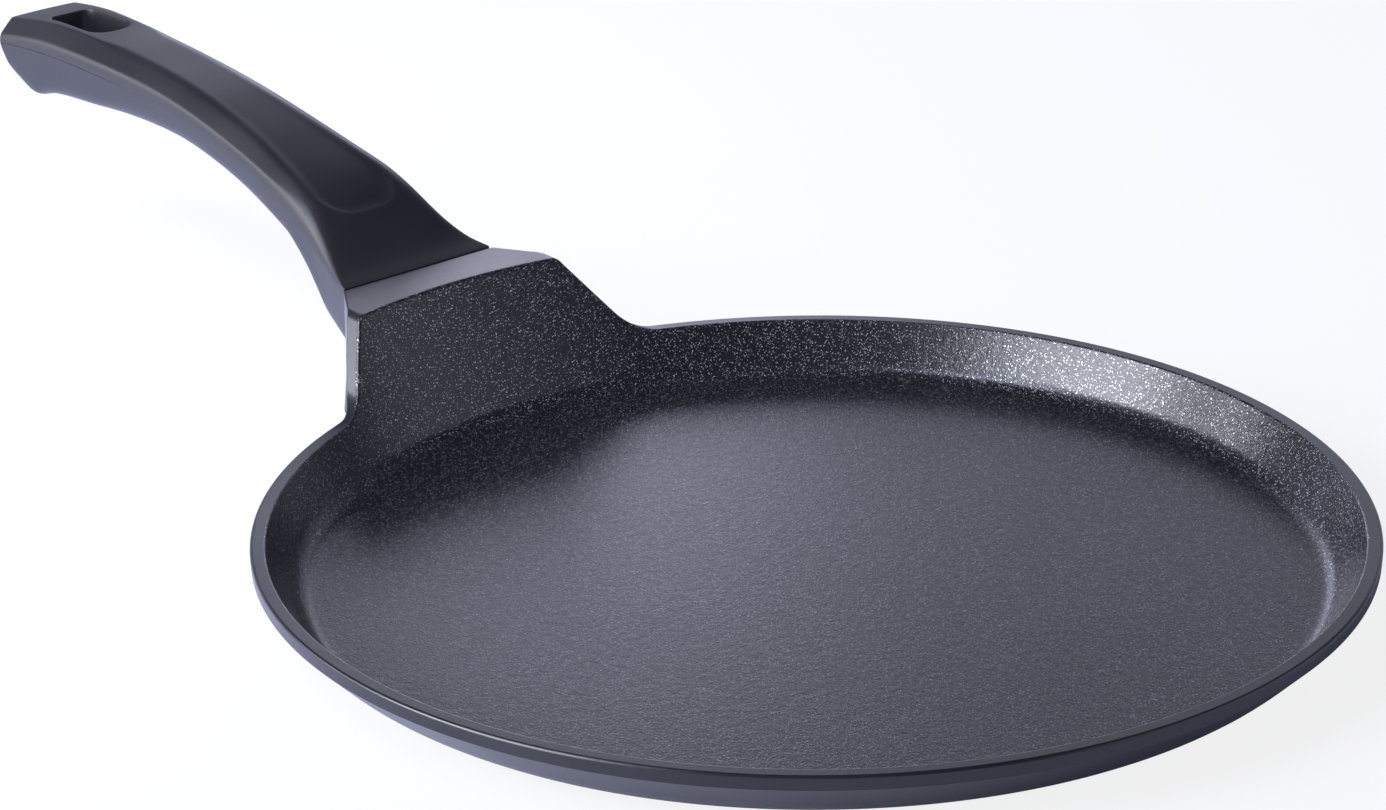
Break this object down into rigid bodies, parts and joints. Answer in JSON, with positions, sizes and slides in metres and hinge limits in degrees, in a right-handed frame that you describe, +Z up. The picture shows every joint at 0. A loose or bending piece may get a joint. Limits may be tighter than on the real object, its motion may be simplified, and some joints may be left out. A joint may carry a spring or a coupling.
{
  "type": "crepe pan",
  "caption": "Shallow round pan with a leaning side wall, a raised flame guard and a long fixed grip with a hanging slot.",
  "frame": {"origin": "centre of the round base, on the resting plane", "axes": "+X along the handle, from the pan's centre to the tail; +Z up, out of the cooking side"},
  "size_m": [0.4913, 0.2798, 0.0732],
  "materials": {
    "coated_casting": "matt black non-stick coating with fine bright specks on cast aluminium",
    "base_steel": "turned stainless steel",
    "grip_phenolic": "satin black phenolic",
    "fastener_steel": "plain steel"
  },
  "bodies": {
    "root": {"pan_body": "coated_casting", "induction_plate": "base_steel", "handle_grip": "grip_phenolic", "handle_screw": "fastener_steel", "lock_washer": "fastener_steel", "flat_washer": "fastener_steel"}
  },
  "joints": []
}
